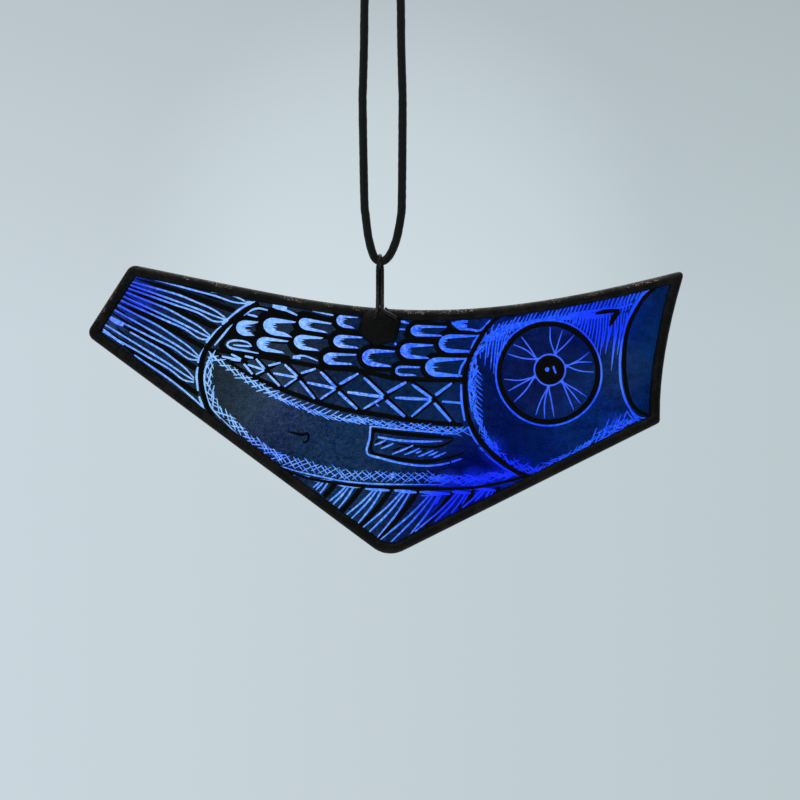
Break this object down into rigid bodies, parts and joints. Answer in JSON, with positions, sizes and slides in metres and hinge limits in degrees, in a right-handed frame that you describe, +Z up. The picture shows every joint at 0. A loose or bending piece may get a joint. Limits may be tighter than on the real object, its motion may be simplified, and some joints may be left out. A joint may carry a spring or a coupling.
{
  "type": "stained glass suncatcher",
  "caption": "Fish-shaped pane of painted blue glass with a soldered copper-foil edge, hung by a wire eye from a knotted loop of waxed cord.",
  "frame": {"origin": "middle of the flat on the back of the knot, where the ornament is held", "axes": "+X from tail to mouth, +Y from the painted front to the back, +Z up"},
  "size_m": [0.1188, 0.0055, 0.1546],
  "materials": {
    "blue_glass": "gloss, with black fired paint on the front",
    "copper_foil": "tarnished copper",
    "black_solder": "black patina on tin-lead solder",
    "dark_wire": "black patina on tinned copper wire",
    "waxed_cord": "waxed, slight sheen"
  },
  "bodies": {
    "knot": {"cord_knot": "waxed_cord"},
    "neck": {"cord_neck_left": "waxed_cord", "cord_neck_right": "waxed_cord"},
    "strands": {"cord_strand_left": "waxed_cord", "cord_strand_right": "waxed_cord"},
    "bend": {"cord_bend_left": "waxed_cord", "cord_bend_right": "waxed_cord"},
    "eye_cord": {"cord_in_eye": "waxed_cord"},
    "pane": {"glass_pane": "blue_glass", "copper_foil": "copper_foil", "solder_rim": "black_solder", "foil_pad": "copper_foil", "solder_pad": "black_solder", "hanger_wire": "dark_wire"}
  },
  "joints": [
    {"name": "cord_swing", "type": "hinge", "parent": "knot", "child": "neck", "pos_m": [0, -0.0023, -0.0035], "axis": [1, 0, 0], "range_deg": [-60, 60]},
    {"name": "cord_sway", "type": "hinge", "parent": "neck", "child": "strands", "pos_m": [0, -0.0023, -0.0056], "axis": [0, 1, 0], "range_deg": [-30, 30], "stiffness_Nm_per_rad": 0.005, "springref_deg": -13.75},
    {"name": "cord_twist", "type": "hinge", "parent": "strands", "child": "bend", "pos_m": [-0.00028, -0.0023, -0.0542], "axis": [0, 0, 1], "range_deg": [-180, 180], "stiffness_Nm_per_rad": 0.000075},
    {"name": "pane_swing", "type": "hinge", "parent": "bend", "child": "eye_cord", "pos_m": [-0.0005, -0.0023, -0.0842], "axis": [1, 0, 0], "range_deg": [-90, 90]},
    {"name": "pane_rock", "type": "hinge", "parent": "eye_cord", "child": "pane", "pos_m": [-0.0005, -0.0023, -0.0842], "axis": [0, 1, 0], "range_deg": [-18, 18], "stiffness_Nm_per_rad": 0.01, "springref_deg": -7.91}
  ]
}
